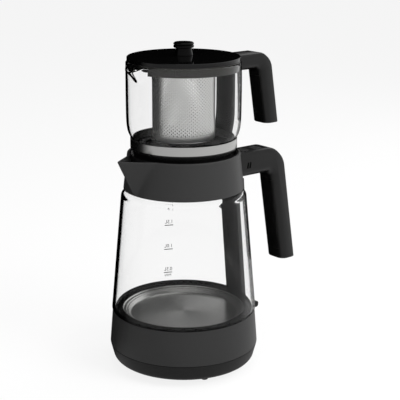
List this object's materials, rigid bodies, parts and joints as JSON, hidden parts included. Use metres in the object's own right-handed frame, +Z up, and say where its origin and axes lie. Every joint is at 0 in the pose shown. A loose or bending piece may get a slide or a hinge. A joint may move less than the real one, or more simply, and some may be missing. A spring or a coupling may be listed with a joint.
{
  "type": "electric tea maker",
  "caption": "Glass teapot with a strainer and lid, standing in the mouth of a cordless glass kettle on a round power base, both with black handles.",
  "frame": {"origin": "on the vertical axis of the pots, at the level of the surface that the feet stand on", "axes": "+Z up, +X from the axis towards the two handles, -X towards the two spouts"},
  "size_m": [0.2344, 0.1566, 0.3413],
  "materials": {
    "shell_plastic": "moulded black polypropylene, fine satin texture",
    "kettle_plastic": "moulded charcoal polypropylene, satin",
    "gloss_plastic": "moulded black ABS, polished",
    "button_plastic": "moulded black ABS, satin keys",
    "foot_rubber": "moulded rubber",
    "seal_silicone": "moulded silicone rubber",
    "clear_glass": "blown borosilicate glass, clear",
    "brushed_steel": "rolled stainless steel, brushed",
    "perforated_steel": "perforated stainless sheet",
    "spreader_aluminium": "die-cast aluminium",
    "element_steel": "stainless tube, heat-tinted",
    "screw_steel": "zinc-plated steel",
    "connector_plastic": "glass-filled nylon",
    "control_plastic": "glass-filled nylon, natural",
    "board_laminate": "glass-epoxy laminate, green",
    "wire_plastic": "PVC insulated ribbon"
  },
  "bodies": {
    "power_base": {"power_base_shell": "shell_plastic", "power_base_cover": "shell_plastic", "base_feet": "foot_rubber", "power_base_screws": "screw_steel", "cord_gland": "foot_rubber"},
    "connector": {"base_connector": "connector_plastic"},
    "kettle": {"kettle_base_shell": "kettle_plastic", "kettle_base_floor": "shell_plastic", "base_screws": "screw_steel", "connector_socket": "connector_plastic", "heater_plate": "brushed_steel", "heat_spreader": "spreader_aluminium", "heater_element": "element_steel", "thermostat": "control_plastic", "lower_seal": "seal_silicone", "lever_pin": "screw_steel", "switch_block": "control_plastic", "kettle_glass": "clear_glass", "upper_seal": "seal_silicone", "collar": "kettle_plastic", "seat_ring": "gloss_plastic", "duct": "shell_plastic", "wire_loom": "wire_plastic", "handle_shell": "kettle_plastic", "handle_cover": "kettle_plastic", "handle_end_cap": "kettle_plastic", "handle_screws": "screw_steel", "control_panel": "gloss_plastic", "control_board": "board_laminate", "tact_switches": "control_plastic"},
    "lever": {"switch_lever": "shell_plastic"},
    "boil_key": {"boil_button": "button_plastic"},
    "tea_key": {"tea_button": "button_plastic"},
    "teapot": {"teapot_glass": "clear_glass", "teapot_base_ring": "gloss_plastic", "teapot_band": "brushed_steel", "teapot_strap": "shell_plastic", "teapot_handle_shell": "kettle_plastic", "teapot_handle_cover": "kettle_plastic", "teapot_handle_screws": "screw_steel"},
    "strainer": {"strainer_ring": "shell_plastic", "strainer_basket": "perforated_steel"},
    "lid": {"lid": "gloss_plastic", "lid_guide": "kettle_plastic", "lid_knob": "gloss_plastic", "lid_screw": "screw_steel"}
  },
  "joints": [
    {"name": "kettle_swivel", "type": "hinge", "parent": "power_base", "child": "connector", "pos_m": [0, 0, 0.0289], "axis": [0, 0, 1], "continuous": true},
    {"name": "kettle_lift", "type": "slide", "parent": "connector", "child": "kettle", "axis": [0, 0, 1], "range_m": [0, 0.06]},
    {"name": "switch_lever_tilt", "type": "hinge", "parent": "kettle", "child": "lever", "pos_m": [0.07, 0, 0.0434], "axis": [0, 1, 0], "range_deg": [0, 12]},
    {"name": "boil_button_press", "type": "slide", "parent": "kettle", "child": "boil_key", "axis": [0, 0, -1], "range_m": [0, 0.0008], "stiffness_N_per_m": 600, "springref_m": -0.0008},
    {"name": "tea_button_press", "type": "slide", "parent": "kettle", "child": "tea_key", "axis": [0, 0, -1], "range_m": [0, 0.0008], "stiffness_N_per_m": 600, "springref_m": -0.0008},
    {"name": "teapot_lift", "type": "slide", "parent": "kettle", "child": "teapot", "axis": [0, 0, 1], "range_m": [0, 0.06]},
    {"name": "strainer_lift", "type": "slide", "parent": "teapot", "child": "strainer", "axis": [0, 0, 1], "range_m": [0, 0.09]},
    {"name": "lid_lift", "type": "slide", "parent": "strainer", "child": "lid", "axis": [0, 0, 1], "range_m": [0, 0.04]}
  ]
}
